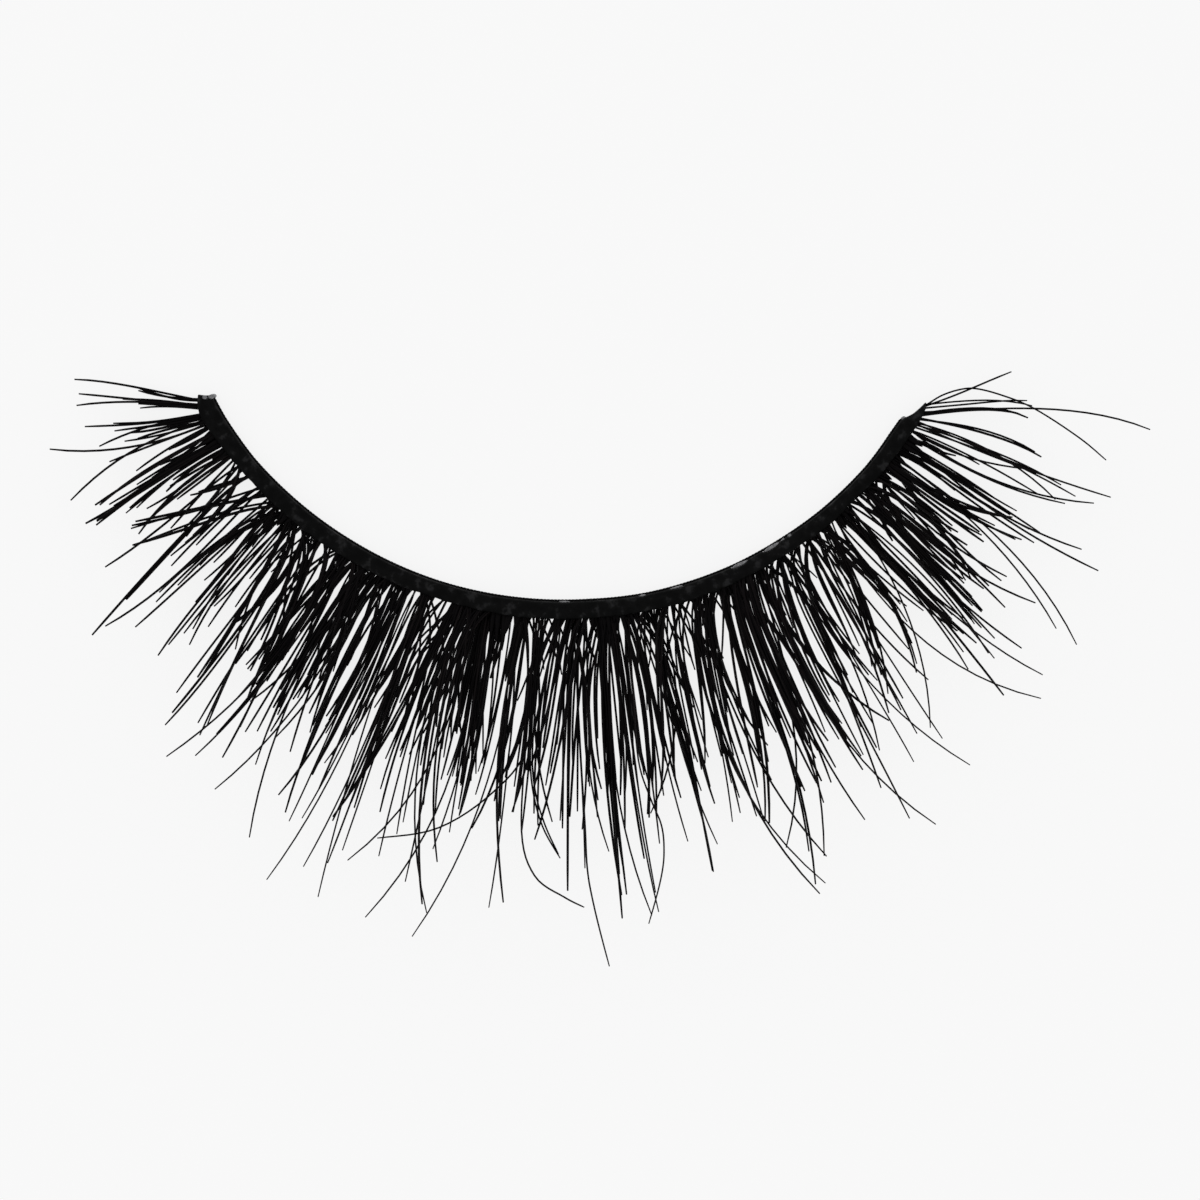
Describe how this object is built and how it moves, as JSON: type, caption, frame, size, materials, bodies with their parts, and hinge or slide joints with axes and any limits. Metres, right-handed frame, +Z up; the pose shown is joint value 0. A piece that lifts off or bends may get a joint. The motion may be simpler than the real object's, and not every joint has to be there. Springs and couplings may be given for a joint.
{
  "type": "false eyelash strip",
  "caption": "Curved band of false lashes for an upper eyelid: tufts of black lashes seated along a thin glued cord, short at the inner corner and long over the middle.",
  "frame": {"origin": "the middle of the band's flat underside, on the band's centre line, where the strip rests and where glue goes on", "axes": "+X towards the outer corner of the eye along the chord of the band, +Y towards the inside of the band's curve, away from the lashes, +Z up from the flat underside, the way the lashes curl"},
  "size_m": [0.0427, 0.0231, 0.0084],
  "materials": {
    "band_black": "cotton cord soaked in black glue, near black, half gloss, faint grey mottling",
    "thread_black": "fine twisted black thread, matt",
    "lash_black": "tapered synthetic fibres, near black, soft gloss",
    "clear_glue": "bits of dried clear glue, cloudy and half see-through"
  },
  "bodies": {
    "root": {"band_core": "band_black", "edge_thread": "thread_black", "glue_tip_inner": "clear_glue", "glue_tip_outer": "clear_glue", "tuft_01": "lash_black", "tuft_02": "lash_black", "tuft_03": "lash_black", "tuft_04": "lash_black", "tuft_05": "lash_black", "tuft_06": "lash_black", "tuft_07": "lash_black", "tuft_08": "lash_black", "tuft_09": "lash_black", "tuft_10": "lash_black", "tuft_11": "lash_black", "tuft_12": "lash_black", "tuft_13": "lash_black", "tuft_14": "lash_black", "tuft_15": "lash_black", "tuft_16": "lash_black", "tuft_17": "lash_black", "tuft_18": "lash_black", "tuft_19": "lash_black", "tuft_20": "lash_black", "tuft_21": "lash_black", "tuft_22": "lash_black", "tuft_23": "lash_black", "tuft_24": "lash_black", "tuft_25": "lash_black", "tuft_26": "lash_black"}
  },
  "joints": []
}
